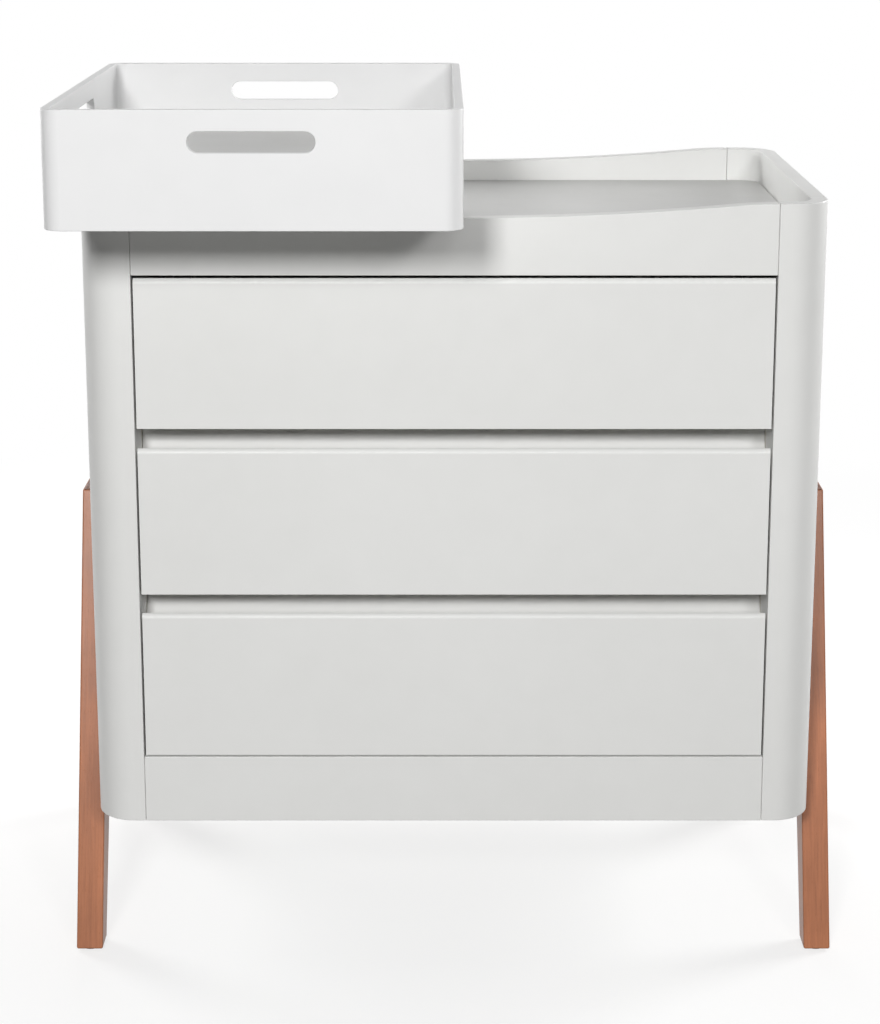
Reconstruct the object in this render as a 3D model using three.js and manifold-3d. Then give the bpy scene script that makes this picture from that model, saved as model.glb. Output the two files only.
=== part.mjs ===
// Changing table: a chest of three drawers on two inverted-V leg frames, with a lift-off
// changing tray on its left half. Millimetres, +Z up, front towards -Y, floor at z = 0.
// The origin lies on the floor at the middle of the whole object's box.
import * as THREE from 'three';
import { mergeVertices } from 'three/addons/utils/BufferGeometryUtils.js';
import Module from 'manifold-3d';

const wasm = await Module();
wasm.setup();

// ---- Driving dimensions -------------------------------------------------------------------

// Chest carcass
const bodyWidth = 910;
const bodyDepth = 560;
const floorClearance = 192; // floor to the chest's underside
const board = 20; // side panels and rails
const postWidth = 64; // a corner post, seen from the front and from the side
const postRadius = 50; // its rounded outer corner
const plinthHeight = 86;
const topRailHeight = 87;
const galleryDepth = 44; // from the gallery's top down to the changing surface
const topThickness = 18;
const bottomThickness = 18;
const bottomDrop = 4; // bottom panel below the plinth's top
const backThickness = 8;
const backInset = 6; // back panel behind the rear faces
const linerThickness = 18; // panels that carry the drawer runners

// Dip of the two top rails
const dipDepth = 17;
const dipInset = 6; // end of the dip to the corner post
const shoulderRadius = 500; // where the dip begins

// Drawers, from the lowest up
const drawerNames = ['lower', 'middle', 'upper'];
const frontHeight = 187;
const frontThickness = 20;
const frontSideGap = 2.5; // drawer front to post
const frontTopGap = 3.5; // upper drawer front to the top rail
const frontBottomGap = 2.5; // lower drawer front to the plinth
const fingerGap = 25; // between two drawer fronts
const frontEdgeRadius = 6; // round along the face side of a front's upper edge
const bevelWidth = 13; // bevel along its back
const bevelDrop = 14;
const boxRise = 12; // box underside above the front's lower edge
const boxDrop = 41; // box top below the front's upper edge
const boxBoard = 12;
const boxBackClearance = 66; // box to the back panel
const drawerBottomThickness = 6;
const drawerBottomRise = 12; // drawer bottom above the box underside
const grooveDepth = 6;

// Finger rails, behind the gaps between the drawer fronts
const fingerRailDepth = 60;
const hollowDepth = 48; // wall of the hollow behind the lip's front edge
const lipClearance = 4; // lip behind the drawer front's back
const lipDrop = 25; // lip below the upper edge of the front before it
const lipThickness = 11;
const coveRadius = 24;
const fingerRailLap = 1.5; // rail above the lower edge of the front over it

// Drawer runners
const runnerSpace = 12.7; // liner to drawer side
const runnerHeight = 35;
const runnerSheet = 1.2;
const runnerFlange = 9.7;
const runnerPlay = 0.8; // between the flanges of the two members
const runnerRise = 40; // runner's middle above the box underside
const runnerFrontSetback = 8; // runner behind the drawer front's back
const runnerRearSetback = 22; // runner before the box's back

// Leg frames
const legThickness = 34;
const legGap = 0.5; // leg to side panel
const legRise = 380; // top of the leg frame above the chest's underside
const footWidth = 38;
const footSetback = 24; // foot's front edge behind the chest's front
const peakWidth = 144; // flat top of the two legs together
const crotchDrop = 32; // where the legs' inner edges meet, below the flat top
const boltRise = 250; // leg bolt above the chest's underside
const boltRadius = 4;
const boltBite = 24; // length of the bolt in the leg
const boltHeadRadius = 7;
const boltHeadHeight = 5;
const accessRadius = 12; // hole in the liner for the bolt's key
const glideRadius = 12;
const glideHeight = 2.5;
const spigotRadius = 3;
const spigotLength = 10;

// Changing tray
const trayWidth = 469;
const trayDepth = 596;
const trayHeight = 135;
const trayWall = 10;
const trayRadius = 22;
const trayBaseThickness = 8;
const trayBaseRise = 36; // base above the walls' lower edge
const traySideOverhang = 5;
const trayFrontOverhang = 212;
const slotLength = 142;
const slotHeight = 24;
const slotBelowRim = 24;
const battenWidth = 30;
const battenClearance = 4; // batten to the gallery and to the tray's walls

// Fits
const seam = 0.3; // between two pieces that touch
const holeClearance = 0.6; // bolt to the wall of its hole
const overshoot = 1; // how far a cutting tool passes the face that it cuts
const arcSteps = 12; // facets on a quarter turn

// ---- Levels and places that follow --------------------------------------------------------

const frontFace = (trayFrontOverhang - bodyDepth) / 2;
const backFace = frontFace + bodyDepth;
const midDepth = (frontFace + backFace) / 2;
const halfWidth = bodyWidth / 2;
const postInner = halfWidth - postWidth;
const panelInner = halfWidth - board;
const reach = postInner - seam; // half-length of the boards between the posts

const underside = floorClearance;
const plinthTop = underside + plinthHeight;
const lowestFront = plinthTop + frontBottomGap;
const drawerPitch = frontHeight + fingerGap;
const highestFrontTop = lowestFront + drawerNames.length * drawerPitch - fingerGap;
const railBottom = highestFrontTop + frontTopGap;
const galleryTop = railBottom + topRailHeight;
const surface = galleryTop - galleryDepth;
const topUnderside = surface - topThickness;

const frontBack = frontFace + frontThickness;
const backPanelFront = backFace - backInset - backThickness;
const boxBack = backPanelFront - boxBackClearance;
const boxOuter = postInner - runnerSpace;
const boxInner = boxOuter - boxBoard;
const boxHeight = frontHeight - boxRise - boxDrop;

const sides = { left: -1, right: 1 };
const ends = { front: -1, rear: 1 };

// A depth measured inwards from the chest's front or rear face.
function inwards(end, depth) {
  return end < 0 ? frontFace + depth : backFace - depth;
}

// ---- Materials ----------------------------------------------------------------------------

function finish(color, roughness, metalness = 0) {
  return new THREE.MeshStandardMaterial({ color, roughness, metalness });
}

const lacquer = finish(0xe4e4e1, 0.42);
const trayLacquer = finish(0xf1f1f0, 0.4);
const drawerBoard = finish(0xdcd9d1, 0.6);
const stainedWood = finish(0xa86c4d, 0.5);
const runnerSteel = finish(0xb9bcbf, 0.35, 1);
const boltSteel = finish(0x8e9194, 0.4, 1);
const glidePlastic = finish(0x4a4642, 0.7);

const group = new THREE.Group();

function add(name, geometry, material) {
  const mesh = new THREE.Mesh(geometry, material);
  mesh.name = name;
  group.add(mesh);
}

// ---- Solid helpers ------------------------------------------------------------------------

// A board between two opposite corners, given in any order.
function boardBetween(a, b) {
  const size = a.map((value, i) => Math.abs(b[i] - value));
  const middle = a.map((value, i) => (value + b[i]) / 2);
  return new THREE.BoxGeometry(...size).translate(...middle);
}

function shapeOf(points) {
  return new THREE.Shape(points.map(([x, y]) => new THREE.Vector2(x, y)));
}

function arcPoints(x, y, radius, from, to, steps = arcSteps) {
  return Array.from({ length: steps + 1 }, (_, i) => {
    const angle = from + ((to - from) * i) / steps;
    return [x + radius * Math.cos(angle), y + radius * Math.sin(angle)];
  });
}

function extruded(shape, length) {
  const curveSegments = arcSteps / 2;
  return new THREE.ExtrudeGeometry(shape, { depth: length, bevelEnabled: false, curveSegments });
}

// A plan outline (x, y) raised from one level to another.
function raised(shape, low, high) {
  return extruded(shape, high - low).translate(0, 0, low);
}

// A front outline (x, z) carried from one depth to another.
function alongDepth(shape, a, b) {
  return extruded(shape, Math.abs(b - a)).rotateX(Math.PI / 2).translate(0, Math.max(a, b), 0);
}

// A side outline (y, z) carried across the width.
function acrossWidth(shape, a, b) {
  const toWidth = new THREE.Matrix4().makeBasis(
    new THREE.Vector3(0, 1, 0),
    new THREE.Vector3(0, 0, 1),
    new THREE.Vector3(1, 0, 0),
  );
  return extruded(shape, Math.abs(b - a)).applyMatrix4(toWidth).translate(Math.min(a, b), 0, 0);
}

// A turned piece: its profile is [radius, distance along the axis], and the axis is +Z.
function turned(profile) {
  const points = profile.map(([radius, along]) => new THREE.Vector2(radius, along));
  return new THREE.LatheGeometry(points, 2 * arcSteps).rotateX(Math.PI / 2);
}

function solidOf(geometry) {
  const bare = geometry.clone();
  bare.deleteAttribute('normal');
  bare.deleteAttribute('uv');
  const merged = mergeVertices(bare);
  const mesh = new wasm.Mesh({
    numProp: 3,
    vertProperties: new Float32Array(merged.attributes.position.array),
    triVerts: new Uint32Array(merged.index.array),
  });
  return new wasm.Manifold(mesh);
}

function geometryOf(solid) {
  const mesh = solid.getMesh();
  const geometry = new THREE.BufferGeometry();
  geometry.setAttribute('position', new THREE.BufferAttribute(mesh.vertProperties, 3));
  geometry.setIndex(new THREE.BufferAttribute(mesh.triVerts, 1));
  geometry.computeVertexNormals();
  return geometry;
}

function cut(geometry, ...tools) {
  return geometryOf(tools.reduce((left, tool) => left.subtract(solidOf(tool)), solidOf(geometry)));
}

// A plan rectangle with rounded corners.
function roundedRectangle(xLow, xHigh, yLow, yHigh, radius) {
  const quarter = Math.PI / 2;
  return shapeOf([
    ...arcPoints(xHigh - radius, yLow + radius, radius, -quarter, 0),
    ...arcPoints(xHigh - radius, yHigh - radius, radius, 0, quarter),
    ...arcPoints(xLow + radius, yHigh - radius, radius, quarter, 2 * quarter),
    ...arcPoints(xLow + radius, yLow + radius, radius, 2 * quarter, 3 * quarter),
  ]);
}

// ---- Corner posts, side panels and changing surface ---------------------------------------

// The inside of the gallery, drawn in by a clearance.
function galleryOutline(clearance) {
  return roundedRectangle(
    -panelInner + clearance,
    panelInner - clearance,
    frontFace + board + clearance,
    backFace - board - clearance,
    postRadius - board - clearance,
  );
}

// Solid up to the changing surface, then a curved wall that turns the gallery's corner.
function cornerPost(side, end) {
  const outline = [
    [postInner, 0],
    ...arcPoints(halfWidth - postRadius, postRadius, postRadius, -Math.PI / 2, 0),
    [halfWidth, postWidth],
    [postInner, postWidth],
  ].map(([x, depth]) => [side * x, inwards(end, depth)]);
  const gallerySpace = raised(galleryOutline(0), topUnderside - seam, galleryTop + overshoot);
  return cut(raised(shapeOf(outline), underside, galleryTop), gallerySpace);
}

for (const [endName, end] of Object.entries(ends)) {
  for (const [sideName, side] of Object.entries(sides)) {
    add(`corner_post_${endName}_${sideName}`, cornerPost(side, end), lacquer);
  }
}

add('changing_top', raised(galleryOutline(seam), topUnderside, surface), lacquer);

// ---- Top rails with their shallow dip -----------------------------------------------------

// The dip is one long arc, led in at each end by a shoulder arc that is level at its start.
function railOutline() {
  const dipEnd = postInner - dipInset;
  const dipRadius = (dipEnd ** 2 + dipDepth ** 2) / (2 * dipDepth) - shoulderRadius;
  const spread = Math.asin(dipEnd / (dipRadius + shoulderRadius));
  const shoulderLevel = galleryTop - shoulderRadius;
  const up = Math.PI / 2;
  return shapeOf([
    [-reach, railBottom],
    [reach, railBottom],
    [reach, galleryTop],
    ...arcPoints(dipEnd, shoulderLevel, shoulderRadius, up, up + spread, arcSteps / 2),
    ...arcPoints(
      0,
      galleryTop - dipDepth + dipRadius,
      dipRadius,
      spread - up,
      -spread - up,
      2 * arcSteps,
    ).slice(1, -1),
    ...arcPoints(-dipEnd, shoulderLevel, shoulderRadius, up - spread, up, arcSteps / 2),
    [-reach, galleryTop],
  ]);
}

for (const [endName, end] of Object.entries(ends)) {
  const rail = alongDepth(railOutline(), inwards(end, 0), inwards(end, board));
  add(`${endName}_top_rail`, rail, lacquer);
}

// ---- Leg frames ---------------------------------------------------------------------------

// A line that leans from the foot to a point higher up, read at any level.
function leaning(fromDepth, toDepth, toLevel) {
  return (level) => fromDepth + ((toDepth - fromDepth) * level) / toLevel;
}

const legTop = underside + legRise;
const legFoot = glideHeight + seam;
const legMeeting = bodyDepth / 2 - seam / 2;
const outerEdge = leaning(footSetback, bodyDepth / 2 - peakWidth / 2, legTop);
const innerEdge = leaning(footSetback + footWidth, legMeeting, legTop - crotchDrop);
const boltLevel = underside + boltRise;
const boltDepth = (outerEdge(boltLevel) + innerEdge(boltLevel)) / 2;
const glideDepth = footSetback + footWidth / 2;
const legInner = halfWidth + legGap;

// Lays a piece turned about +Z along a bolt's axis, starting a distance from the middle.
function atBolt(geometry, side, end, from) {
  return geometry
    .rotateY((side * Math.PI) / 2)
    .translate(side * from, inwards(end, boltDepth), boltLevel);
}

// The round tool that drills a hole.
function drill(radius, length) {
  return turned([[0, 0], [radius, 0], [radius, length], [0, length]]);
}

function leg(side, end) {
  const outline = [
    [outerEdge(legFoot), legFoot],
    [innerEdge(legFoot), legFoot],
    [legMeeting, legTop - crotchDrop],
    [legMeeting, legTop],
    [outerEdge(legTop), legTop],
  ].map(([depth, level]) => [inwards(end, depth), level]);
  const blank = acrossWidth(shapeOf(outline), side * legInner, side * (legInner + legThickness));
  const boltHole = atBolt(
    drill(boltRadius + seam, boltBite + seam + overshoot),
    side,
    end,
    legInner - overshoot,
  );
  const spigotHole = drill(spigotRadius + seam, spigotLength + glideHeight + seam).translate(
    side * (legInner + legThickness / 2),
    inwards(end, glideDepth),
    0,
  );
  return cut(blank, boltHole, spigotHole);
}

function legBolt(side, end) {
  const length = boltHeadHeight + seam + board + legGap + boltBite;
  const profile = [
    [0, 0],
    [boltHeadRadius, 0],
    [boltHeadRadius, boltHeadHeight],
    [boltRadius, boltHeadHeight],
    [boltRadius, length],
    [0, length],
  ];
  return atBolt(turned(profile), side, end, panelInner - seam - boltHeadHeight);
}

function glide(side, end) {
  const profile = [
    [0, 0],
    [glideRadius, 0],
    [glideRadius, glideHeight],
    [spigotRadius, glideHeight],
    [spigotRadius, glideHeight + spigotLength],
    [0, glideHeight + spigotLength],
  ];
  const middle = side * (legInner + legThickness / 2);
  return turned(profile).translate(middle, inwards(end, glideDepth), 0);
}

for (const [endName, end] of Object.entries(ends)) {
  for (const [sideName, side] of Object.entries(sides)) {
    add(`leg_${endName}_${sideName}`, leg(side, end), stainedWood);
    add(`leg_bolt_${endName}_${sideName}`, legBolt(side, end), boltSteel);
    add(`glide_${endName}_${sideName}`, glide(side, end), glidePlastic);
  }
}

// ---- Side panels and runner liners, drilled for the leg bolts -----------------------------

const panelFront = frontFace + postWidth + seam;
const panelRear = backFace - postWidth - seam;

function drilled(panel, side, radius, from, thickness) {
  const holes = Object.values(ends).map((end) =>
    atBolt(drill(radius, thickness + 2 * overshoot), side, end, from - overshoot),
  );
  return cut(panel, ...holes);
}

for (const [sideName, side] of Object.entries(sides)) {
  const sidePanel = boardBetween(
    [side * panelInner, panelFront, underside],
    [side * halfWidth, panelRear, galleryTop],
  );
  const sideHoles = [boltRadius + holeClearance, panelInner, board];
  add(`side_panel_${sideName}`, drilled(sidePanel, side, ...sideHoles), lacquer);

  const liner = boardBetween(
    [side * postInner, panelFront, underside],
    [side * (postInner + linerThickness), panelRear, topUnderside - seam],
  );
  const linerHoles = [accessRadius, postInner, linerThickness];
  add(`runner_liner_${sideName}`, drilled(liner, side, ...linerHoles), drawerBoard);
}

// ---- Plinth, bottom, back and finger rails ------------------------------------------------

add(
  'front_plinth_rail',
  boardBetween([-reach, frontFace, underside], [reach, frontFace + board, plinthTop]),
  lacquer,
);

add(
  'bottom_panel',
  boardBetween(
    [-reach, frontFace + board + seam, plinthTop - bottomDrop - bottomThickness],
    [reach, backPanelFront - seam, plinthTop - bottomDrop],
  ),
  drawerBoard,
);

add(
  'back_panel',
  boardBetween(
    [-reach, backPanelFront, underside],
    [reach, backPanelFront + backThickness, railBottom - seam],
  ),
  drawerBoard,
);

// A lip low in front for the fingers to clear, then a cove that sweeps up to the wall of the hollow.
function fingerRail(frontTop) {
  const lipFront = frontBack + lipClearance;
  const wall = lipFront + hollowDepth;
  const lipTop = frontTop - lipDrop;
  const lipBottom = lipTop - lipThickness;
  const railTop = frontTop + fingerGap + fingerRailLap;
  const outline = shapeOf([
    [lipFront, lipBottom],
    [lipFront, lipTop],
    ...arcPoints(wall - coveRadius, lipTop + coveRadius, coveRadius, -Math.PI / 2, 0),
    [wall, railTop],
    [lipFront + fingerRailDepth, railTop],
    [lipFront + fingerRailDepth, lipBottom],
  ]);
  return acrossWidth(outline, -reach, reach);
}

// ---- Drawers and their runners ------------------------------------------------------------

function drawerFront(low) {
  const high = low + frontHeight;
  const outline = shapeOf([
    [frontFace, low],
    [frontBack, low],
    [frontBack, high - bevelDrop],
    [frontBack - bevelWidth, high],
    ...arcPoints(frontFace + frontEdgeRadius, high - frontEdgeRadius, frontEdgeRadius, Math.PI / 2, Math.PI),
  ]);
  const halfFront = postInner - frontSideGap;
  const bottomLevel = low + boxRise + drawerBottomRise;
  const groove = boardBetween(
    [-boxInner - grooveDepth, frontBack - grooveDepth, bottomLevel - seam],
    [boxInner + grooveDepth, frontBack + overshoot, bottomLevel + drawerBottomThickness + seam],
  );
  return cut(acrossWidth(outline, -halfFront, halfFront), groove);
}

// A box board's section, grooved on its inner face: [distance in from the outer face, level].
function groovedSection(boxLow) {
  const grooveLow = boxLow + drawerBottomRise - seam;
  const grooveHigh = grooveLow + drawerBottomThickness + 2 * seam;
  const grooveFloor = boxBoard - grooveDepth;
  return [
    [0, boxLow],
    [boxBoard, boxLow],
    [boxBoard, grooveLow],
    [grooveFloor, grooveLow],
    [grooveFloor, grooveHigh],
    [boxBoard, grooveHigh],
    [boxBoard, boxLow + boxHeight],
    [0, boxLow + boxHeight],
  ];
}

function drawerSide(side, boxLow) {
  const outline = groovedSection(boxLow).map(([inset, z]) => [side * (boxOuter - inset), z]);
  return alongDepth(shapeOf(outline), frontBack + seam, boxBack);
}

function drawerBack(boxLow) {
  const outline = groovedSection(boxLow).map(([inset, z]) => [boxBack - inset, z]);
  return acrossWidth(shapeOf(outline), -boxInner + seam, boxInner - seam);
}

function drawerBottom(boxLow) {
  const halfBottom = boxInner + grooveDepth - seam;
  const low = boxLow + drawerBottomRise;
  return boardBetween(
    [-halfBottom, frontBack - grooveDepth + seam, low],
    [halfBottom, boxBack - boxBoard + grooveDepth - seam, low + drawerBottomThickness],
  );
}

// A folded steel channel: its web stands at one distance from the liner, its flanges reach
// from there towards the other member.
function runnerChannel(side, level, webAt, flangeReach, halfHeight) {
  const webInside = webAt + Math.sign(flangeReach) * runnerSheet;
  const flangeEnd = webAt + flangeReach;
  const flangeInside = halfHeight - runnerSheet;
  const outline = [
    [webAt, -halfHeight],
    [flangeEnd, -halfHeight],
    [flangeEnd, -flangeInside],
    [webInside, -flangeInside],
    [webInside, flangeInside],
    [flangeEnd, flangeInside],
    [flangeEnd, halfHeight],
    [webAt, halfHeight],
  ].map(([fromLiner, rise]) => [side * (postInner - fromLiner), level + rise]);
  const front = frontBack + runnerFrontSetback;
  return alongDepth(shapeOf(outline), front, boxBack - runnerRearSetback);
}

function addDrawer(name, low) {
  const boxLow = low + boxRise;
  add(`${name}_drawer_front`, drawerFront(low), lacquer);
  add(`${name}_drawer_back`, drawerBack(boxLow), drawerBoard);
  add(`${name}_drawer_bottom`, drawerBottom(boxLow), drawerBoard);
  for (const [sideName, side] of Object.entries(sides)) {
    add(`${name}_drawer_side_${sideName}`, drawerSide(side, boxLow), drawerBoard);
    const level = boxLow + runnerRise;
    const outerHalf = runnerHeight / 2;
    const innerHalf = outerHalf - runnerSheet - runnerPlay;
    const fixed = runnerChannel(side, level, seam, runnerFlange, outerHalf);
    const moving = runnerChannel(side, level, runnerSpace - seam, -runnerFlange, innerHalf);
    add(`${name}_runner_fixed_${sideName}`, fixed, runnerSteel);
    add(`${name}_runner_moving_${sideName}`, moving, runnerSteel);
  }
}

drawerNames.forEach((name, i) => addDrawer(name, lowestFront + i * drawerPitch));

drawerNames.slice(0, -1).forEach((name, i) => {
  const frontTop = lowestFront + i * drawerPitch + frontHeight;
  add(`finger_rail_over_${name}_drawer`, fingerRail(frontTop), lacquer);
});

// ---- Changing tray ------------------------------------------------------------------------

const trayLeft = -halfWidth - traySideOverhang;
const trayRight = trayLeft + trayWidth;
const trayFront = frontFace - trayFrontOverhang;
const trayBack = trayFront + trayDepth;
const trayLow = galleryTop + seam;
const baseLow = trayLow + trayBaseRise;
const trayCentre = [(trayLeft + trayRight) / 2, (trayFront + trayBack) / 2];

// A handle slot with round ends, centred across a wall.
function slotOutline(centre) {
  const radius = slotHeight / 2;
  const level = trayLow + trayHeight - slotBelowRim - radius;
  const straight = slotLength / 2 - radius;
  const quarter = Math.PI / 2;
  return shapeOf([
    ...arcPoints(centre + straight, level, radius, -quarter, quarter),
    ...arcPoints(centre - straight, level, radius, quarter, 3 * quarter),
  ]);
}

// The walls are two bent halves, each with two walls, joined halfway round two corners.
function trayWalls(turnedRound) {
  const quarter = Math.PI / 2;
  const jointAngle = seam / (trayRadius - trayWall) / 2;
  const left = trayLeft + trayRadius;
  const right = trayRight - trayRadius;
  const front = trayFront + trayRadius;
  const back = trayBack - trayRadius;
  const path = (radius) => [
    ...arcPoints(left, front, radius, -1.5 * quarter + jointAngle, -quarter, arcSteps / 2),
    ...arcPoints(right, front, radius, -quarter, 0),
    ...arcPoints(right, back, radius, 0, quarter / 2 - jointAngle, arcSteps / 2),
  ];
  const outline = [...path(trayRadius), ...path(trayRadius - trayWall).reverse()].map((point) =>
    turnedRound ? point.map((value, i) => 2 * trayCentre[i] - value) : point,
  );
  const slotsAcross = [trayLeft - overshoot, trayRight + overshoot];
  const slotsAlong = [trayFront - overshoot, trayBack + overshoot];
  return cut(
    raised(shapeOf(outline), trayLow, trayLow + trayHeight),
    alongDepth(slotOutline(trayCentre[0]), ...slotsAlong),
    acrossWidth(slotOutline(trayCentre[1]), ...slotsAcross),
  );
}

add('tray_wall_front_right', trayWalls(false), trayLacquer);
add('tray_wall_rear_left', trayWalls(true), trayLacquer);

const baseInset = trayWall + seam;
const baseOutline = roundedRectangle(
  trayLeft + baseInset,
  trayRight - baseInset,
  trayFront + baseInset,
  trayBack - baseInset,
  trayRadius - baseInset,
);
add('tray_base', raised(baseOutline, baseLow, baseLow + trayBaseThickness), trayLacquer);

// Two battens under the base stand on the changing surface and hold the tray in the gallery.
// They begin past the gallery's rounded corners.
const battenFront = Math.max(trayFront + trayWall, frontFace + postRadius) + battenClearance;
const battenBack = Math.min(trayBack - trayWall, backFace - board) - battenClearance;
const battenPlaces = {
  left: Math.max(trayLeft + trayWall, -panelInner) + battenClearance,
  right: trayRight - trayWall - battenClearance - battenWidth,
};

for (const [sideName, x] of Object.entries(battenPlaces)) {
  const batten = boardBetween(
    [x, battenFront, surface + seam],
    [x + battenWidth, battenBack, baseLow - seam],
  );
  add(`tray_batten_${sideName}`, batten, trayLacquer);
}

export default group;
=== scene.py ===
import math

import bmesh
import bpy
from mathutils import Matrix, Vector


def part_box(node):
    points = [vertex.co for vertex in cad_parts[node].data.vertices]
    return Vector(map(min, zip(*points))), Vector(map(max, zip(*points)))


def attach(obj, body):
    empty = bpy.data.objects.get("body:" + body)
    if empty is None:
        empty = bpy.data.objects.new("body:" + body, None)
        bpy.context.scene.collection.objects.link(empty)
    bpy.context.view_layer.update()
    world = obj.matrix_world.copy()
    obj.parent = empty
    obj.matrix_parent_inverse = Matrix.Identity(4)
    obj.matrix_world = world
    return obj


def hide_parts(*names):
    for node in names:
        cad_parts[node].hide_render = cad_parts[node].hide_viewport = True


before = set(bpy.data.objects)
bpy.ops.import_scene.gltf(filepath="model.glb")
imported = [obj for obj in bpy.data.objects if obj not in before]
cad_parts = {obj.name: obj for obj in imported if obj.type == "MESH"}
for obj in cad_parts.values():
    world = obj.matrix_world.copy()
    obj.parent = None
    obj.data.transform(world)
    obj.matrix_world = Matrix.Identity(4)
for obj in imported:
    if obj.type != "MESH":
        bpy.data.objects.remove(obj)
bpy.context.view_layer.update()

# ---- Corner posts ------------------------------------------------------------------------
# Four solid beech posts, each with a full-height round on its outer corner. The upper end is
# routed out to a curved wall that turns the corner of the gallery. Primed, sanded, and
# sprayed with white satin lacquer after every edge was eased with a block.

MILLIMETRE = 0.001
POST_ROUND = 50 * MILLIMETRE
GALLERY_ROUND = 30 * MILLIMETRE
HAIRLINE = 0.3 * MILLIMETRE
EASED_EDGE, EASED_FACETS = 1.1 * MILLIMETRE, 3
SHARP = math.radians(30)
ROUND_FACETS = 16
OUTLINE_WELD, CUT_WELD = 0.02 * MILLIMETRE, 0.01 * MILLIMETRE
RELIEF_DEPTH = 0.2 * MILLIMETRE
AXES = {"x": 0, "y": 1, "z": 2}


def paint(red, green, blue):
    """A colour as it is read off a colour card, turned into the light it reflects."""
    def light(level):
        share = level / 255
        return share / 12.92 if share <= 0.04045 else ((share + 0.055) / 1.055) ** 2.4

    return (light(red), light(green), light(blue), 1.0)


def node(tree, kind, inputs=None, **settings):
    """One shader node, with its settings, and its inputs joined or filled in."""
    made = tree.nodes.new("ShaderNode" + kind)
    for key, value in settings.items():
        setattr(made, key, value)
    for key, value in (inputs or {}).items():
        if isinstance(value, bpy.types.NodeSocket):
            tree.links.new(value, made.inputs[key])
        else:
            made.inputs[key].default_value = value
    return made


def mixed(tree, share, first, second):
    """Two colours mixed by a share that runs from 0 to 1."""
    mix = node(tree, "Mix", {0: share, 6: first, 7: second}, data_type="RGBA")
    return mix.outputs[2]


def remapped(tree, value, span, onto=(0.0, 1.0)):
    """A value stretched from one span onto another, and held inside it."""
    ends = {"From Min": span[0], "From Max": span[1], "To Min": onto[0], "To Max": onto[1]}
    return node(tree, "MapRange", {"Value": value, **ends}).outputs["Result"]


def multiplied(tree, first, second):
    """One value times another."""
    return node(tree, "Math", {0: first, 1: second}, operation="MULTIPLY").outputs[0]


def summed(tree, first, second, share=1.0):
    """The first value plus a share of the second."""
    made = node(tree, "Math", {0: second, 1: share, 2: first}, operation="MULTIPLY_ADD")
    return made.outputs[0]


def toned(tree, colour, value, saturation=1.0):
    """A colour made darker or paler by a factor, and stronger by another."""
    settings = {"Value": value, "Saturation": saturation, "Color": colour}
    return node(tree, "HueSaturation", settings).outputs[0]


def drawn_out(tree, where, **scales):
    """The place a pattern is read from, with the pattern drawn out along the named axes."""
    scale = [scales.get(axis, 1.0) for axis in AXES]
    return node(tree, "Mapping", {"Vector": where, "Scale": scale}).outputs[0]


def mottled(tree, where, scale, detail=2.0, distortion=0.0):
    """A soft random pattern, with a scale in patches per metre."""
    settings = {"Vector": where, "Scale": scale, "Detail": detail, "Distortion": distortion}
    return node(tree, "TexNoise", settings).outputs[0]


def finish_group(name, *colours):
    """An empty group of shader nodes for a finish that is mixed from some colours."""
    tree = bpy.data.node_groups.new(name, "ShaderNodeTree")
    given = {"Vector": "Vector", **dict.fromkeys(colours, "Color"), "Sheen": "Float"}
    wanted = {"Colour": "Color", "Roughness": "Float", "Height": "Float"}
    for label, kind in given.items():
        tree.interface.new_socket(label, in_out="INPUT", socket_type="NodeSocket" + kind)
    for label, kind in wanted.items():
        tree.interface.new_socket(label, in_out="OUTPUT", socket_type="NodeSocket" + kind)
    start, end = tree.nodes.new("NodeGroupInput"), tree.nodes.new("NodeGroupOutput")
    return tree, start.outputs, end.inputs


def lacquer_film():
    """Sprayed lacquer: a faint drift of tone, a sheen that varies, and a fine orange peel."""
    tree, given, wanted = finish_group("lacquer_film", "Paint")
    where = given["Vector"]
    drift = remapped(tree, mottled(tree, where, scale=2.4, detail=3.0), (0.35, 0.65))
    cloud = remapped(tree, mottled(tree, where, scale=23.0, detail=4.0), (0.3, 0.7))
    patches = summed(tree, multiplied(tree, drift, 0.65), cloud, share=0.35)
    greyer = toned(tree, given["Paint"], value=0.955, saturation=1.15)
    rub = remapped(tree, mottled(tree, where, scale=9.0, detail=5.0), (0.3, 0.7),
                   onto=(-0.045, 0.045))
    peel = mottled(tree, where, scale=520.0)
    ripple = mottled(tree, where, scale=70.0)
    tree.links.new(mixed(tree, patches, given["Paint"], greyer), wanted["Colour"])
    tree.links.new(summed(tree, given["Sheen"], rub), wanted["Roughness"])
    tree.links.new(summed(tree, peel, ripple, share=2.5), wanted["Height"])
    return tree


def finished(name, group, given, relief, turn=None, **shader):
    """A material whose colour, roughness and relief come from a shader group."""
    material = bpy.data.materials.new(name)
    material.use_nodes = True
    tree = material.node_tree
    surface = tree.nodes["Principled BSDF"]
    for label, value in shader.items():
        surface.inputs[label.replace("_", " ")].default_value = value
    here = node(tree, "TexCoord").outputs["Object"]
    if turn:
        here = node(tree, "Mapping", {"Vector": here, "Rotation": turn}).outputs[0]
    film = node(tree, "Group", node_tree=group)
    tree.links.new(here, film.inputs["Vector"])
    for label, value in given.items():
        film.inputs[label].default_value = value
    bump = node(tree, "Bump", {"Strength": relief, "Distance": RELIEF_DEPTH,
                               "Height": film.outputs["Height"]})
    tree.links.new(film.outputs["Colour"], surface.inputs["Base Color"])
    tree.links.new(film.outputs["Roughness"], surface.inputs["Roughness"])
    tree.links.new(bump.outputs[0], surface.inputs["Normal"])
    return material


LACQUER_FILM = lacquer_film()
LACQUER_SPECULAR = 0.3
WHITE_SATIN = finished(
    "white_satin_lacquer", LACQUER_FILM, {"Paint": paint(234, 234, 232), "Sheen": 0.40},
    relief=0.10, Specular_IOR_Level=LACQUER_SPECULAR,
)


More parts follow.
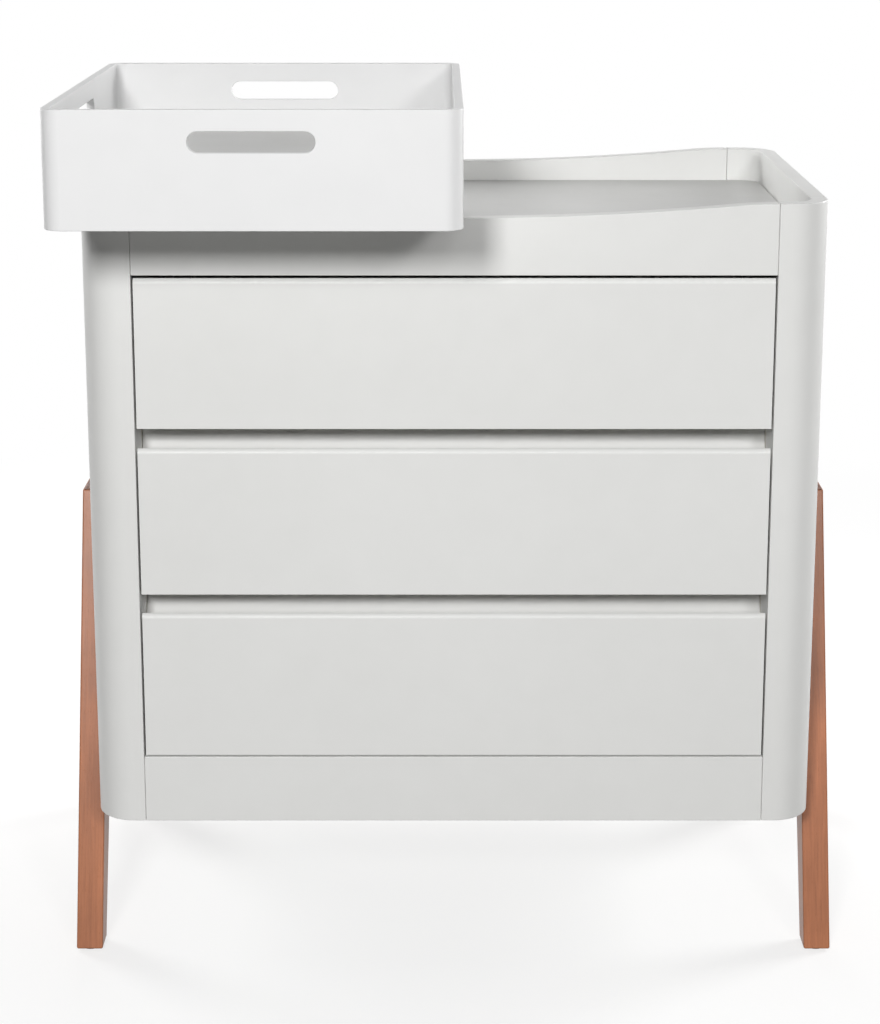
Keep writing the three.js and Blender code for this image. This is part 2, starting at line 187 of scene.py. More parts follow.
def crosswise(axis):
    """The numbers of the two axes across the given one."""
    return [i for i in range(3) if i != AXES[axis]]


def sawn(outline, axis, low, high, rounds=(), radius=0.0):
    """A piece sawn to an outline and carried along an axis, with some corners rounded. Its
    faces are added one by one, because the order of a sweep's faces differs from run to run,
    and the eased edges of a piece with two materials go by that order."""
    across, up = crosswise(axis)
    bm = bmesh.new()
    corners = []
    for first, second in outline:
        place = Vector((low, low, low))
        place[across], place[up] = first, second
        corners.append(bm.verts.new(place))
    bm.faces.new(corners)
    if rounds:
        bmesh.ops.bevel(
            bm, geom=[corners[i] for i in rounds], offset=radius, offset_type="OFFSET",
            affect="VERTICES", segments=ROUND_FACETS, profile=0.5, material=-1,
        )
        bmesh.ops.remove_doubles(bm, verts=bm.verts, dist=OUTLINE_WELD)
    along = Vector((0, 0, 0))
    along[AXES[axis]] = high - low
    for face in bm.faces[:]:
        near = list(face.verts)
        far = [bm.verts.new(corner.co + along) for corner in near]
        for i in range(len(near)):
            bm.faces.new((near[i - 1], near[i], far[i], far[i - 1]))
        bm.faces.new(far)
    bmesh.ops.recalc_face_normals(bm, faces=bm.faces)
    return bm


def rectangle(a, b, c, d):
    """The outline of a rectangle from (a, c) to (b, d)."""
    return [(a, c), (b, c), (b, d), (a, d)]


def board(low, high):
    """A board between its lowest and highest corners."""
    return sawn(rectangle(low[0], high[0], low[1], high[1]), "z", low[2], high[2])


def held(bm):
    """A workpiece as a scene object, to be cut."""
    mesh = bpy.data.meshes.new("workpiece")
    bm.to_mesh(mesh)
    bm.free()
    obj = bpy.data.objects.new("workpiece", mesh)
    bpy.context.scene.collection.objects.link(obj)
    return obj


def carved(bm, *tools):
    """A blank with each tool's shape taken out of it, as a router or a drill does."""
    blank = held(bm)
    cutters = [held(tool) for tool in tools]
    for cutter in cutters:
        cut = blank.modifiers.new("cut", "BOOLEAN")
        cut.operation, cut.solver, cut.object = "DIFFERENCE", "EXACT", cutter
    shaped = blank.evaluated_get(bpy.context.evaluated_depsgraph_get())
    mesh = bpy.data.meshes.new_from_object(shaped)
    out = bmesh.new()
    out.from_mesh(mesh)
    for used in [blank, *cutters]:
        bpy.data.meshes.remove(used.data)
    bpy.data.meshes.remove(mesh)
    bmesh.ops.remove_doubles(out, verts=out.verts, dist=CUT_WELD)
    return out


def piece(name, bm, body, nodes, materials, easing=EASED_EDGE):
    """A finished piece: shaded smooth, its edges eased, and fixed to the body it moves with."""
    mesh = bpy.data.meshes.new(name)
    bmesh.ops.recalc_face_normals(bm, faces=bm.faces)
    bm.to_mesh(mesh)
    bm.free()
    for material in materials:
        mesh.materials.append(material)
    mesh.shade_smooth()
    obj = bpy.data.objects.new(name, mesh)
    bpy.context.scene.collection.objects.link(obj)
    if easing:
        ease = obj.modifiers.new("eased_edges", "BEVEL")
        ease.width, ease.segments, ease.profile = easing, EASED_FACETS, 0.5
        ease.limit_method, ease.angle_limit = "ANGLE", SHARP
    flat = obj.modifiers.new("flat_faces", "WEIGHTED_NORMAL")
    flat.weight, flat.keep_sharp = 100, True
    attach(obj, body)
    if nodes:
        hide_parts(*nodes)
    return obj


top_low, top_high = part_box("changing_top")
GALLERY_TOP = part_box("side_panel_left")[1][2]
NEAR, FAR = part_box("corner_post_front_left")[0][1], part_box("corner_post_rear_left")[1][1]


def gallery_space():
    """What the router takes out of the posts' upper ends: the space inside the gallery."""
    plan = rectangle(top_low[0] - HAIRLINE, top_high[0] + HAIRLINE,
                     top_low[1] - HAIRLINE, top_high[1] + HAIRLINE)
    past_the_top = GALLERY_TOP + 5 * MILLIMETRE
    return sawn(plan, "z", top_low[2] - HAIRLINE, past_the_top, range(4), GALLERY_ROUND)


OUTER_CORNERS = {"front_left": 0, "front_right": 1, "rear_left": 3, "rear_right": 2}
for place, outer in OUTER_CORNERS.items():
    low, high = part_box(f"corner_post_{place}")
    plan = rectangle(low[0], high[0], low[1], high[1])
    post = sawn(plan, "z", low[2], high[2], [outer], POST_ROUND)
    piece(f"post_{place}", carved(post, gallery_space()), "chest", [f"corner_post_{place}"],
          [WHITE_SATIN])

# ---- Top rails ---------------------------------------------------------------------------
# A front and a rear rail dowelled between the posts. The upper edge dips in one long shallow
# curve, level at both ends, so that an arm can lean on it. Same board and same lacquer.

DIP = 17 * MILLIMETRE
DIP_INSET = 6 * MILLIMETRE
SHOULDER_RADIUS = 500 * MILLIMETRE
DIP_CUTS = 127


def dipped_level(x, end_of_rail, level):
    """The height of a top rail's upper edge at one place along it."""
    end = end_of_rail + HAIRLINE - DIP_INSET
    belly = (end**2 + DIP**2) / (2 * DIP) - SHOULDER_RADIUS
    spread = math.asin(end / (belly + SHOULDER_RADIUS))
    from_end = end - abs(x)
    if from_end <= 0:
        return level
    if from_end < SHOULDER_RADIUS * math.sin(spread):
        return level - SHOULDER_RADIUS + math.sqrt(SHOULDER_RADIUS**2 - from_end**2)
    return level - DIP + belly - math.sqrt(belly**2 - x**2)


for end in ("front", "rear"):
    low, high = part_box(f"{end}_top_rail")
    rail = board(low, high)
    lengthwise = [
        edge for edge in rail.edges if abs(edge.verts[0].co.x - edge.verts[1].co.x) > DIP
    ]
    bmesh.ops.subdivide_edges(rail, edges=lengthwise, cuts=DIP_CUTS, use_grid_fill=True)
    for vert in rail.verts:
        if vert.co.z > high[2] - HAIRLINE:
            vert.co.z = dipped_level(vert.co.x, high[0], high[2])
    piece(f"top_rail_{end}", rail, "chest", [f"{end}_top_rail"], [WHITE_SATIN])

# ---- Side panels, plinth rail and changing surface ---------------------------------------
# The side panels are glued between the posts and bored for the leg bolts. A plinth rail closes
# the front at the bottom. The changing surface is a panel let in below the gallery, in the
# same lacquer, a little smoother, and greyed as painted shade for a face that looks up.

BOLT_HOLE = 4.6 * MILLIMETRE
SHADOW_GAP = 0.7 * MILLIMETRE
BORE_FACETS = 24


def rod(radius, centre, axis, low, high):
    """A round tool or pin along the x or y axis, about a centre given in the other two."""
    across, up = crosswise(axis)
    bm = bmesh.new()
    laid_down = Matrix.Rotation(math.radians(90), 4, {"x": "Y", "y": "X"}[axis])
    bmesh.ops.create_cone(
        bm, cap_ends=True, segments=BORE_FACETS, radius1=radius, radius2=radius,
        depth=high - low, matrix=laid_down,
    )
    middle = Vector((0, 0, 0))
    middle[across], middle[up], middle[AXES[axis]] = centre[0], centre[1], (low + high) / 2
    bmesh.ops.translate(bm, verts=bm.verts, vec=middle)
    bmesh.ops.recalc_face_normals(bm, faces=bm.faces)
    return bm


def bolt_bores(side, radius, low, high):
    """Drills for the two leg bolts of one side, through a panel between low and high."""
    bores = []
    for end in ("front", "rear"):
        first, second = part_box(f"leg_bolt_{end}_{side}")
        centre = (first + second).yz / 2
        bores.append(rod(radius, centre, "x", low - MILLIMETRE, high + MILLIMETRE))
    return bores


for side in ("left", "right"):
    low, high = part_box(f"side_panel_{side}")
    panel = carved(board(low, high), *bolt_bores(side, BOLT_HOLE, low[0], high[0]))
    piece(f"side_{side}", panel, "chest", [f"side_panel_{side}"],
          [WHITE_SATIN])

piece("plinth_front", board(*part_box("front_plinth_rail")), "chest", ["front_plinth_rail"],
      [WHITE_SATIN])

# Its grey is painted shade: the upward faces that take it get less light than the fronts.
SHADE_GREYED_SATIN = finished(
    "shade_greyed_satin_lacquer", LACQUER_FILM, {"Paint": paint(207, 207, 205), "Sheen": 0.34},
    relief=0.10, Specular_IOR_Level=LACQUER_SPECULAR,
)
surface_plan = rectangle(top_low[0] + SHADOW_GAP, top_high[0] - SHADOW_GAP,
                         top_low[1] + SHADOW_GAP, top_high[1] - SHADOW_GAP)
surface_panel = sawn(surface_plan, "z", top_low[2], top_high[2], range(4),
                     GALLERY_ROUND - SHADOW_GAP)
piece("changing_surface", surface_panel, "chest", ["changing_top"],
      [SHADE_GREYED_SATIN])

# ---- Finger rails ------------------------------------------------------------------------
# Behind each gap between two drawers a rail with a hollow moulded in it: the fingers go in
# over the lower drawer, and find the back of its front. Moulded from solid, lacquered white.

HOLLOW = 48 * MILLIMETRE
COVE = 24 * MILLIMETRE
LIP = 11 * MILLIMETRE
MOULDED_EDGE = 0.8 * MILLIMETRE

for drawer in ("lower", "middle"):
    low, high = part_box(f"finger_rail_over_{drawer}_drawer")
    hollow = [
        (low[1], low[2]), (low[1], low[2] + LIP), (low[1] + HOLLOW, low[2] + LIP),
        (low[1] + HOLLOW, high[2]), (high[1], high[2]), (high[1], low[2]),
    ]
    rail = sawn(hollow, "x", low[0], high[0], [2], COVE)
    piece(f"finger_rail_{drawer}", rail, "chest", [f"finger_rail_over_{drawer}_drawer"],
          [WHITE_SATIN], MOULDED_EDGE)

# ---- Back, bottom and runner liners ------------------------------------------------------
# The hidden boards: a bottom, a back let in between the rear posts and held by small pan-head
# screws, and a liner each side that carries the runners. Board with an off-white foil.


def printed_foil():
    """Off-white foil on board: pressed with a fine short grain, and slightly uneven."""
    tree, given, wanted = finish_group("printed_foil", "Paint")
    long_way = drawn_out(tree, given["Vector"], y=0.06)
    grain = mottled(tree, long_way, scale=620.0, detail=3.0, distortion=0.2)
    broad = mottled(tree, long_way, scale=34.0, detail=3.0)
    pressed = remapped(tree, grain, (0.45, 0.7))
    darker = toned(tree, given["Paint"], value=0.96, saturation=1.1)
    shares = remapped(tree, summed(tree, broad, pressed, share=0.5), (0.4, 1.1))
    tree.links.new(mixed(tree, shares, given["Paint"], darker), wanted["Colour"])
    tree.links.new(summed(tree, given["Sheen"], pressed, share=0.08), wanted["Roughness"])
    tree.links.new(grain, wanted["Height"])
    return tree


FOIL_BOARD = finished(
    "off_white_foil", printed_foil(), {"Paint": paint(221, 218, 210), "Sheen": 0.5}, relief=0.25
)
ACCESS_HOLE = 12 * MILLIMETRE
BOARD_EDGE = 0.5 * MILLIMETRE

for side in ("left", "right"):
    low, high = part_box(f"runner_liner_{side}")
    liner = carved(board(low, high), *bolt_bores(side, ACCESS_HOLE, low[0], high[0]))
    piece(f"liner_{side}", liner, "chest", [f"runner_liner_{side}"],
          [FOIL_BOARD], BOARD_EDGE)

for place in ("bottom", "back"):
    piece(f"{place}_board", board(*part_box(f"{place}_panel")), "chest", [f"{place}_panel"],
          [FOIL_BOARD], BOARD_EDGE)

# ---- Runners, bolts, screws and glides ---------------------------------------------------
# Folded runners of zinc-plated steel, four leg bolts with their heads inside the chest, and
# the screws of the back. Under each foot a moulded brown glide is tapped into a bored hole.


def plated(name, colour, sheen):
    """Zinc-plated steel: bright, drawn lengthwise, with a slightly cloudy plating."""
    tree, given, wanted = finish_group(name + "_plating", "Paint")
    lines = mottled(tree, drawn_out(tree, given["Vector"], y=0.03), scale=900.0)
    cloud = mottled(tree, given["Vector"], scale=60.0, detail=4.0)
    duller = toned(tree, given["Paint"], value=0.8)
    share = remapped(tree, cloud, (0.35, 0.7))
    tree.links.new(mixed(tree, share, given["Paint"], duller), wanted["Colour"])
    tree.links.new(summed(tree, given["Sheen"], cloud, share=0.15), wanted["Roughness"])
    tree.links.new(lines, wanted["Height"])
    return finished(name, tree, {"Paint": colour, "Sheen": sheen}, relief=0.2, Metallic=1.0)


RUNNER_ZINC = plated("zinc_runner_steel", paint(196, 199, 202), 0.26)
BOLT_ZINC = plated("zinc_bolt_steel", paint(168, 170, 172), 0.3)


def moulded_plastic():
    """Moulded nylon: a fine spark-eroded grain from the mould, and a little flow marking."""
    tree, given, wanted = finish_group("moulded_plastic", "Paint")
    pits = mottled(tree, given["Vector"], scale=2400.0)
    flow = mottled(tree, given["Vector"], scale=90.0, distortion=0.6)
    paler = toned(tree, given["Paint"], value=1.25)
    tree.links.new(mixed(tree, flow, given["Paint"], paler), wanted["Colour"])
    tree.links.new(summed(tree, given["Sheen"], pits, share=0.15), wanted["Roughness"])
    tree.links.new(pits, wanted["Height"])
    return tree


GLIDE_NYLON = finished(
    "brown_nylon", moulded_plastic(), {"Paint": paint(84, 70, 60), "Sheen": 0.5}, relief=0.4
)


def refinish(name, material):
    """Gives a piece that keeps its own shape a new finish."""
    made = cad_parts[name]
    made.data.materials.clear()
    made.data.materials.append(material)


for drawer in ("lower", "middle", "upper"):
    for member in ("fixed", "moving"):
        for side in ("left", "right"):
            refinish(f"{drawer}_runner_{member}_{side}", RUNNER_ZINC)

for end in ("front", "rear"):
    for side in ("left", "right"):
        refinish(f"leg_bolt_{end}_{side}", BOLT_ZINC)

SCREW_HEAD = 4 * MILLIMETRE
SCREW_DOME = 2.2 * MILLIMETRE
SCREW_INSET = 12 * MILLIMETRE
SCREW_SPACES = {"across": 5, "up": 4}
DOME_ROUND, DOME_FACETS = 0.7 * SCREW_DOME, 4
RECESS = {"floor": 0.4 * SCREW_DOME, "reach": 0.55 * SCREW_HEAD, "width": 0.12 * SCREW_HEAD}


def screw_heads(low, high):
    """A row of pan-head screws round the edge of the back, each with a crossed recess."""
    heads = bmesh.new()
    left, right = low[0] + SCREW_INSET, high[0] - SCREW_INSET
    bottom, top = low[2] + SCREW_INSET, high[2] - SCREW_INSET
    places = []
    for i in range(SCREW_SPACES["across"] + 1):
        x = left + (right - left) * i / SCREW_SPACES["across"]
        places += [(x, bottom), (x, top)]
    for i in range(1, SCREW_SPACES["up"]):
        z = bottom + (top - bottom) * i / SCREW_SPACES["up"]
        places += [(left, z), (right, z)]
    for x, z in places:
        dome = rod(SCREW_HEAD, (x, z), "y", high[1], high[1] + SCREW_DOME)
        rim = [e for e in dome.edges if min(v.co.y for v in e.verts) > high[1] + HAIRLINE]
        bmesh.ops.bevel(
            dome, geom=rim, offset=DOME_ROUND, offset_type="OFFSET", affect="EDGES",
            segments=DOME_FACETS, profile=0.5, material=-1,
        )
        arms = [
            board((x - across, high[1] + RECESS["floor"], z - up),
                  (x + across, high[1] + 2 * SCREW_DOME, z + up))
            for across, up in ((RECESS["reach"], RECESS["width"]),
                               (RECESS["width"], RECESS["reach"]))
        ]
        head = carved(dome, *arms)
        mesh = bpy.data.meshes.new("screw")
        head.to_mesh(mesh)
        head.free()
        heads.from_mesh(mesh)
        bpy.data.meshes.remove(mesh)
    return heads


piece("back_screws", screw_heads(*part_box("back_panel")), "chest", [],
      [BOLT_ZINC], easing=0)

for end in ("front", "rear"):
    for side in ("left", "right"):
        refinish(f"glide_{end}_{side}", GLIDE_NYLON)

# ---- Leg frames --------------------------------------------------------------------------
# Each side has two legs that lean together into an inverted V under a short flat top, bolted
# to the chest from inside. Solid wood with the grain along the leg, wiped with a copper-brown
# stain and sealed in satin varnish. The cut tops are end grain, darker from the stain soaking
# in and darker still as painted shade, for they sit close against the chest.

LEG_EDGE = 2.2 * MILLIMETRE
CROTCH_DROP = 32 * MILLIMETRE
FOOT = {"setback": 24 * MILLIMETRE, "width": 38 * MILLIMETRE}
PEAK = 144 * MILLIMETRE


def stained_wood():
    """Stained wood with its grain along Z: fine fibres, broad bands, and short dark pores."""
    tree, given, wanted = finish_group("stained_wood", "Pale", "Deep")
    where = given["Vector"]
    fibre_way, band_way, pore_way = [drawn_out(tree, where, z=z) for z in (0.035, 0.10, 0.11)]
    fibres = mottled(tree, fibre_way, scale=430.0, detail=4.0, distortion=0.25)
    bands = mottled(tree, band_way, scale=46.0, detail=3.0, distortion=0.8)
    blotch = mottled(tree, where, scale=9.0, detail=3.0)
    pores = remapped(tree, mottled(tree, pore_way, scale=1500.0), (0.61, 0.72), onto=(0.0, 0.4))
    figure = summed(tree, multiplied(tree, fibres, 0.35), bands, share=0.30)
    figure = summed(tree, figure, blotch, share=0.60)
    stain = mixed(tree, remapped(tree, figure, (0.42, 0.82)), given["Deep"], given["Pale"])
    dark = toned(tree, stain, value=0.62, saturation=1.1)
    tree.links.new(mixed(tree, pores, stain, dark), wanted["Colour"])
    tree.links.new(summed(tree, given["Sheen"], fibres, share=0.10), wanted["Roughness"])
    tree.links.new(summed(tree, fibres, pores, share=-0.7), wanted["Height"])
    return tree


def end_grain():
    """The cut end of the wood: growth rings crossed by pores, with the stain gone in deep."""
    tree, given, wanted = finish_group("end_grain", "Pale", "Deep")
    rings = node(tree, "TexWave", {"Vector": given["Vector"], "Scale": 55.0, "Distortion": 3.0,
                                   "Detail": 2.0}, bands_direction="X")
    pores = mottled(tree, given["Vector"], scale=1300.0)
    share = remapped(tree, summed(tree, rings.outputs["Fac"], pores, share=0.8), (0.2, 1.5))
    tree.links.new(mixed(tree, share, given["Deep"], given["Pale"]), wanted["Colour"])
    tree.links.new(summed(tree, given["Sheen"], pores, share=0.2), wanted["Roughness"])
    tree.links.new(pores, wanted["Height"])
    return tree


STAINED_WOOD = stained_wood()
leg_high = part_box("leg_front_left")[1]
top_setback = leg_high[1] - NEAR - PEAK / 4
lean = math.atan2(top_setback - FOOT["setback"] - FOOT["width"] / 2, leg_high[2])
STAIN = {"Pale": paint(191, 121, 82), "Deep": paint(151, 94, 63), "Sheen": 0.29}
LEG_WOOD = {
    end: finished(f"stained_leg_{end}", STAINED_WOOD, STAIN, relief=0.5,
                  turn=(angle, 0.0, 0.0), Specular_IOR_Level=0.35)
    for end, angle in (("front", lean), ("rear", -lean))
}
# These dark browns are partly the stain soaked into the end grain and partly painted shade for
# the tops beside the chest.
CUT_END_AND_SHADE = finished(
    "end_grain_and_painted_shade", end_grain(),
    {"Pale": paint(128, 82, 60), "Deep": paint(92, 58, 43), "Sheen": 0.45}, relief=0.5,
)


def leg(end, side):
    """One leg, sawn to its taper, with its flat top marked as end grain."""
    low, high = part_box(f"leg_{end}_{side}")
    outer, inner, inwards = (low[1], high[1], 1) if end == "front" else (high[1], low[1], -1)
    face = NEAR if end == "front" else FAR
    top, foot = high[2], low[2]
    meeting = (inner - face) * inwards
    crotch = top - CROTCH_DROP

    def leaning(start, finish, to_level, level):
        """How deep an edge lies at a level, from its depths on the floor and higher up."""
        return start + (finish - start) * level / to_level

    edge = (FOOT["setback"], (meeting + HAIRLINE / 2) - PEAK / 2, top)
    back = (FOOT["setback"] + FOOT["width"], meeting, crotch)
    outline = [
        (leaning(*edge, foot), foot), (leaning(*back, foot), foot),
        (meeting, crotch), (meeting, top), (leaning(*edge, top), top),
    ]
    placed = [(face + depth * inwards, level) for depth, level in outline]
    shape = sawn(placed, "x", low[0], high[0])
    for cheek in shape.faces:
        cheek.material_index = 1 if cheek.calc_center_median().z > top - HAIRLINE else 0
    return shape


for end in ("front", "rear"):
    for side in ("left", "right"):
        piece(f"leg_frame_{end}_{side}", leg(end, side), "chest", [f"leg_{end}_{side}"],
              [LEG_WOOD[end], CUT_END_AND_SHADE], LEG_EDGE)

# ---- Drawers -----------------------------------------------------------------------------
# Three drawers without handles. A thick lacquered front, rounded along its upper edge and
# bevelled behind so that the fingers can hook on it, is screwed to a box of foiled board
# with a bottom let into grooves on all four sides.

FRONT_BEVEL = {"width": 13 * MILLIMETRE, "drop": 14 * MILLIMETRE}
FRONT_ROUND = {"deep": 4 * MILLIMETRE, "high": 7 * MILLIMETRE}
CRISP_EDGE = 0.9 * MILLIMETRE


def groove_space(drawer):
    """The groove round a drawer's bottom, a hair larger than the bottom itself."""
    low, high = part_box(f"{drawer}_drawer_bottom")
    play = Vector((HAIRLINE, HAIRLINE, HAIRLINE))
    return board(low - play, high + play)


def rounded_face(face, top):
    """The round of a front's upper edge: from the arris down to where the flat face begins."""
    deep, high = FRONT_ROUND["deep"], FRONT_ROUND["high"]
    turn = 2 * math.atan(deep / high)
    radius = high / math.sin(turn)
    angles = [turn * (1 - i / ROUND_FACETS) for i in range(ROUND_FACETS + 1)]
    return [
        (face + radius * (1 - math.cos(angle)), top - high + radius * math.sin(angle))
        for angle in angles
    ]


for drawer in ("lower", "middle", "upper"):
    body = f"{drawer}_drawer"
    low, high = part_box(f"{body}_front")
    section = [
        (low[1], low[2]), (high[1], low[2]), (high[1], high[2] - FRONT_BEVEL["drop"]),
        (high[1] - FRONT_BEVEL["width"], high[2] - MILLIMETRE), *rounded_face(low[1], high[2]),
    ]
    front = carved(sawn(section, "x", low[0], high[0]), groove_space(drawer))
    piece(f"{drawer}_front", front, body, [f"{body}_front"], [WHITE_SATIN],
          CRISP_EDGE)
    for part in ("back", "side_left", "side_right"):
        grooved = carved(board(*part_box(f"{body}_{part}")), groove_space(drawer))
        piece(f"{drawer}_box_{part}", grooved, body, [f"{body}_{part}"],
              [FOIL_BOARD], BOARD_EDGE)
    piece(f"{drawer}_box_bottom", board(*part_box(f"{body}_bottom")), body, [f"{body}_bottom"],
          [FOIL_BOARD], BOARD_EDGE / 2)

# ---- Changing tray -----------------------------------------------------------------------
# A deep tray that stands on the gallery and lifts off. Its walls are two bent halves, joined
# halfway round two corners and lacquered over, with a slot for a hand in each wall. A base is
# let in a little way up, in the smoother lacquer greyed as painted shade, and two battens under
# it drop inside the gallery.

TRAY_WALL = 10 * MILLIMETRE
TRAY_ROUND = 22 * MILLIMETRE
TRAY_SLOT = {
    "length": 142 * MILLIMETRE, "height": 24 * MILLIMETRE, "below_rim": 24 * MILLIMETRE,
    "end_round": 0.9995,
}
TRAY_EDGE = 1.0 * MILLIMETRE
BASE_INSET = 10.3 * MILLIMETRE
BEND_FACETS = 8
SQUARE = 0.001

tray_boxes = [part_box(name) for name in ("tray_wall_front_right", "tray_wall_rear_left")]
tray_low = Vector([min(box[0][i] for box in tray_boxes) for i in range(3)])
tray_high = Vector([max(box[1][i] for box in tray_boxes) for i in range(3)])
tray_middle = (tray_low + tray_high) / 2

BRIGHT_SATIN = finished(
    "bright_satin_lacquer", LACQUER_FILM, {"Paint": paint(236, 236, 236), "Sheen": 0.36},
    relief=0.08, Specular_IOR_Level=LACQUER_SPECULAR,
)


def last_face(grown):
    """The face at the far end of what has just been spun or pushed out."""
    return next(item for item in grown if isinstance(item, bmesh.types.BMFace))


def bent_walls():
    """Half of the tray's walls: a strip bent round the front right corner, from halfway round
    the front left corner to halfway round the rear right one."""
    left, right = tray_low[0] + TRAY_ROUND, tray_high[0] - TRAY_ROUND
    near, far = tray_low[1] + TRAY_ROUND, tray_high[1] - TRAY_ROUND
    out = Vector((-1, -1, 0)).normalized()
    start = Vector((left, near, 0))
    bm = bmesh.new()
    strip_end = []
    for reach, level in ((1, 0), (1, 1), (0, 1), (0, 0)):
        place = start + out * (TRAY_ROUND - TRAY_WALL * (1 - reach))
        place.z = tray_high[2] if level else tray_low[2]
        strip_end.append(bm.verts.new(place))
    face = bm.faces.new(strip_end)

    def bend(face, centre, degrees, facets):
        """Carries the strip's end round a corner."""
        grown = bmesh.ops.spin(
            bm, geom=[face, *face.edges, *face.verts], cent=centre, axis=(0, 0, 1),
            angle=math.radians(degrees), steps=facets, use_duplicate=False,
        )
        return last_face(grown["geom_last"])

    def run(face, along):
        """Carries the strip's end straight on."""
        grown = bmesh.ops.extrude_face_region(bm, geom=[face, *face.edges, *face.verts])
        ahead = last_face(grown["geom"])
        bmesh.ops.translate(bm, verts=ahead.verts[:], vec=along)
        return ahead

    face = bend(face, (left, near, 0), 45, BEND_FACETS)
    face = run(face, Vector((right - left, 0, 0)))
    face = bend(face, (right, near, 0), 90, 2 * BEND_FACETS)
    face = run(face, Vector((0, far - near, 0)))
    bend(face, (right, far, 0), 45, BEND_FACETS)
    bmesh.ops.recalc_face_normals(bm, faces=bm.faces)
    return bm


def hand_slot(axis):
    """The cutter for the slots in two opposite walls, its ends a hair short of half circles."""
    across = 1 if axis == "x" else 0
    half, radius = TRAY_SLOT["length"] / 2, TRAY_SLOT["height"] / 2
    top = tray_high[2] - TRAY_SLOT["below_rim"]
    middle = tray_middle[across]
    outline = rectangle(middle - half, middle + half, top - 2 * radius, top)
    low, high = tray_low[AXES[axis]] - MILLIMETRE, tray_high[AXES[axis]] + MILLIMETRE
    return sawn(outline, axis, low, high, range(4), TRAY_SLOT["end_round"] * radius)


for name, turn in (("front_right", 0.0), ("rear_left", math.pi)):
    walls = bent_walls()
    about_middle = Matrix.Rotation(turn, 3, "Z")
    bmesh.ops.rotate(walls, verts=walls.verts, cent=tray_middle, matrix=about_middle)
    walls = carved(walls, hand_slot("x"), hand_slot("y"))
    eased = walls.edges.layers.float.new("bevel_weight_edge")
    joints = {face for face in walls.faces
              if abs(face.normal.x + face.normal.y) < SQUARE and abs(face.normal.z) < SQUARE}
    for edge in walls.edges:
        joint = joints.intersection(edge.link_faces)
        edge[eased] = 1.0 if edge.calc_face_angle(0.0) > SHARP and not joint else 0.0
        edge.smooth = not joint
    made = piece(f"tray_walls_{name}", walls, "tray", [f"tray_wall_{name}"],
                 [BRIGHT_SATIN], TRAY_EDGE)
    made.modifiers["eased_edges"].limit_method = "WEIGHT"

# The base's grey is painted shade for a floor that the tray's walls keep from the light.
base_low, base_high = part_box("tray_base")
base = sawn(rectangle(base_low[0], base_high[0], base_low[1], base_high[1]), "z", base_low[2],
            base_high[2], range(4), TRAY_ROUND - BASE_INSET)
piece("tray_floor_board", base, "tray", ["tray_base"], [SHADE_GREYED_SATIN],
      BOARD_EDGE)

for side in ("left", "right"):
    piece(f"tray_foot_batten_{side}", board(*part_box(f"tray_batten_{side}")), "tray",
          [f"tray_batten_{side}"], [BRIGHT_SATIN])

# ---- Studio floor and light --------------------------------------------------------------
# A paper floor that fades into a white surround. Three softboxes stand far off above the
# camera, the strongest on the left. Two low ones beside the rear light the insides of the
# walls, one hangs above, and one lights the back.

FLOOR_SIZE = 14.0
FADE = (1.3, 2.6)
FLOOR_LIFT = 0.72
AMBIENT = 0.015


def seen_rays(tree):
    """1 for what the eye sees, straight or mirrored or through glass, and 0 for the rest."""
    rays = node(tree, "LightPath").outputs
    seen = rays["Is Camera Ray"]
    for ray in ("Is Glossy Ray", "Is Transmission Ray"):
        seen = node(tree, "Math", {0: seen, 1: rays[ray]}, operation="MAXIMUM").outputs[0]
    return seen


def studio_floor():
    """Grey paper, so that it throws little light back up. To the eye it is lifted to white: it
    takes the object's shadow, and fades to the surround further out."""
    material = bpy.data.materials.new("studio_paper")
    material.use_nodes = True
    tree = material.node_tree
    surface = tree.nodes["Principled BSDF"]
    here = node(tree, "TexCoord").outputs["Object"]
    fleck = mottled(tree, here, scale=340.0, detail=3.0)
    paper = mixed(tree, fleck, paint(134, 134, 134), paint(140, 140, 139))
    tree.links.new(paper, surface.inputs["Base Color"])
    surface.inputs["Roughness"].default_value = 0.9
    seen = seen_rays(tree)
    distance = node(tree, "VectorMath", {0: here}, operation="LENGTH").outputs["Value"]
    faded = multiplied(tree, remapped(tree, distance, FADE), seen)
    lift = node(tree, "Emission", {"Strength": multiplied(tree, seen, FLOOR_LIFT)})
    lit = node(tree, "AddShader", {0: surface.outputs[0], 1: lift.outputs[0]})
    white = node(tree, "Emission", {"Strength": 1.0})
    shown = node(tree, "MixShader", {0: faded, 1: lit.outputs[0], 2: white.outputs[0]})
    tree.links.new(shown.outputs[0], tree.nodes["Material Output"].inputs["Surface"])
    return material


ground = bmesh.new()
bmesh.ops.create_grid(ground, x_segments=8, y_segments=8, size=FLOOR_SIZE / 2)
floor_mesh = bpy.data.meshes.new("studio_floor")
ground.to_mesh(floor_mesh)
ground.free()
floor_mesh.materials.append(studio_floor())
floor = bpy.data.objects.new("studio_floor", floor_mesh)
bpy.context.scene.collection.objects.link(floor)

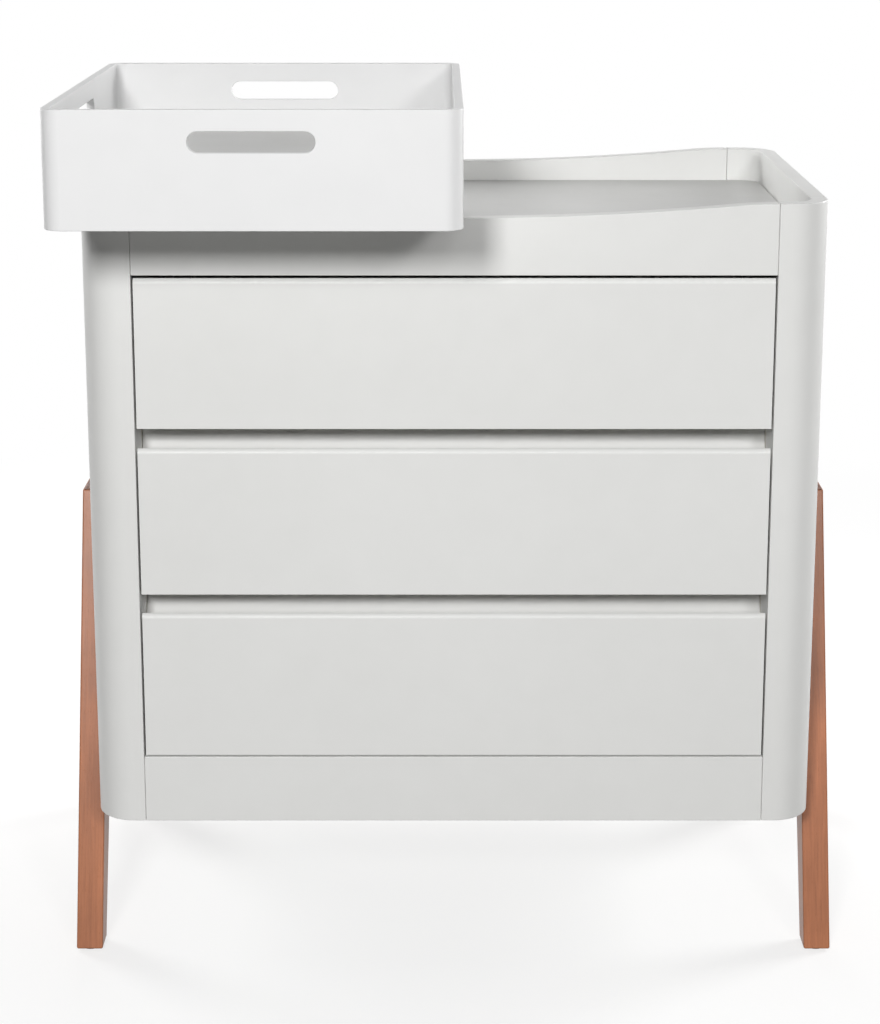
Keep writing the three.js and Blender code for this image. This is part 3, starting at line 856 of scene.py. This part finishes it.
world = bpy.data.worlds.new("white_surround")
world.use_nodes = True
bpy.context.scene.world = world
sky = world.node_tree
backdrop = sky.nodes["Background"]
backdrop.inputs["Color"].default_value = (1.0, 1.0, 1.0, 1.0)
strength = remapped(sky, seen_rays(sky), (0.0, 1.0), (AMBIENT, 1.0))
sky.links.new(strength, backdrop.inputs["Strength"])

AIMS = {
    "front": (0, -0.17, 0.75), "walls": (0, 0.1, 0.8), "middle": (0, 0, 0.6),
    "back": (0, 0.39, 0.55),
}
SOFTBOXES = {
    "left_key": ((-0.82, -4.32, 2.47), "front", (0.63, 0.85), 117),
    "middle_key": ((0.43, -4.40, 2.43), "front", (0.63, 0.65), 19),
    "right_key": ((1.38, -4.20, 2.35), "front", (0.60, 0.60), 42),
    "left_rear": ((-2.0, 1.6, 1.35), "walls", (0.8, 0.8), 36),
    "right_rear": ((2.2, 1.1, 1.4), "walls", (0.8, 0.8), 48),
    "overhead": ((0, 1.9, 3.0), "middle", (1.6, 1.2), 14),
    "rear": ((-0.6, 4.0, 0.6), "back", (1.4, 0.8), 36),
}


def softbox(name, place, aim, size, watts):
    """A soft studio light at a place, pointed at one of the aims, with its size and power."""
    lamp = bpy.data.lights.new(name, "AREA")
    lamp.shape, lamp.size, lamp.size_y, lamp.energy = "RECTANGLE", *size, watts
    obj = bpy.data.objects.new(name, lamp)
    bpy.context.scene.collection.objects.link(obj)
    obj.location = place
    obj.rotation_euler = (Vector(AIMS[aim]) - Vector(place)).to_track_quat("-Z", "Y").to_euler()


for name, settings in SOFTBOXES.items():
    softbox(name, *settings)

# ---- Camera ------------------------------------------------------------------------------
# A long lens at standing height, a little left of the middle, looking slightly down.

LENS = 83.18
SHIFT = -0.12
EYE = (-0.0172, -2.987, 1.3928)
LOOKING_DOWN = 12.78

camera = bpy.data.cameras.new("camera")
camera.lens, camera.shift_y = LENS, SHIFT
viewer = bpy.data.objects.new("camera", camera)
viewer.location = EYE
viewer.rotation_euler = (math.radians(90 - LOOKING_DOWN), 0, 0)
bpy.context.scene.collection.objects.link(viewer)
bpy.context.scene.camera = viewer
bpy.context.scene.view_settings.view_transform = "Standard"
